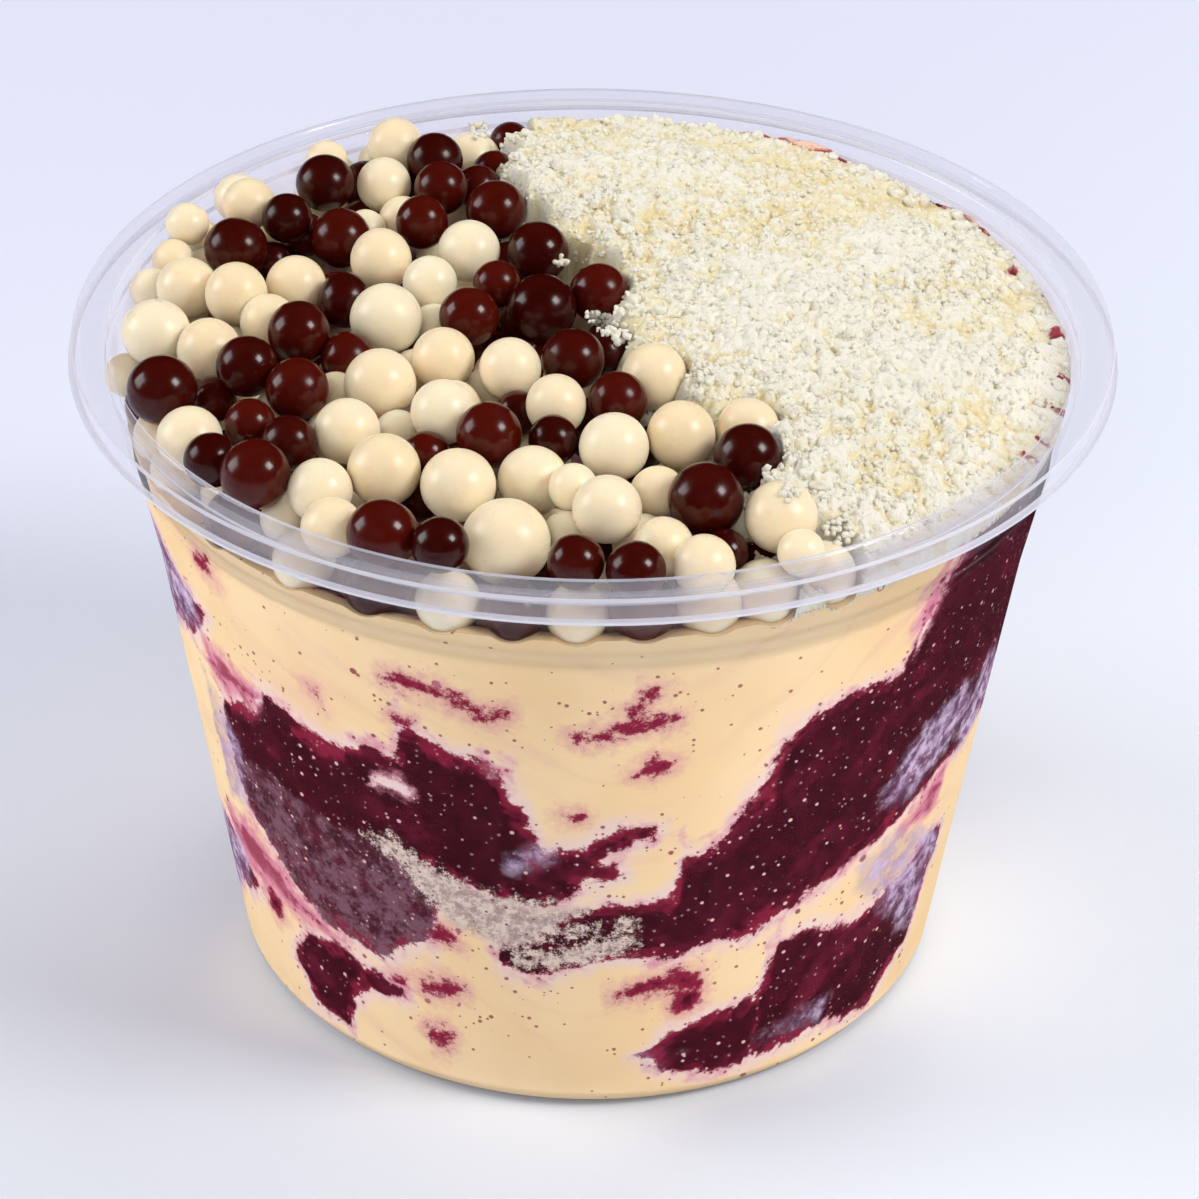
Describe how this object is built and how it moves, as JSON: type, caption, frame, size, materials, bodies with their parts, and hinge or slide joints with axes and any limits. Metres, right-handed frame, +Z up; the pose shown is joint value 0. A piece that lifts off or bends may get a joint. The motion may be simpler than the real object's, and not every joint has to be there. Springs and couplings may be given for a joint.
{
  "type": "cup of acai",
  "caption": "Clear round plastic pot filled with acai swirled through cream, heaped with chocolate balls on one side and milk powder on the other.",
  "frame": {"origin": "middle of the pot's flat base, on the surface that it stands on", "axes": "+Z up along the pot's axis, -Y towards the side that the picture shows, +X to its right"},
  "size_m": [0.1114, 0.1114, 0.0798],
  "materials": {
    "clear_plastic": "thin clear polypropylene, slightly milky at the rim",
    "acai": "food: dark purple-red frozen acai with fine pale specks",
    "cream": "food: smooth pale yellow cream with pink stains",
    "chocolate": "food: glazed milk and white chocolate, satin to glossy",
    "powder": "food: dry clumped milk powder"
  },
  "bodies": {
    "root": {"cup": "clear_plastic", "acai": "acai", "cream": "cream", "chocolate_balls": "chocolate", "milk_powder": "powder"}
  },
  "joints": []
}
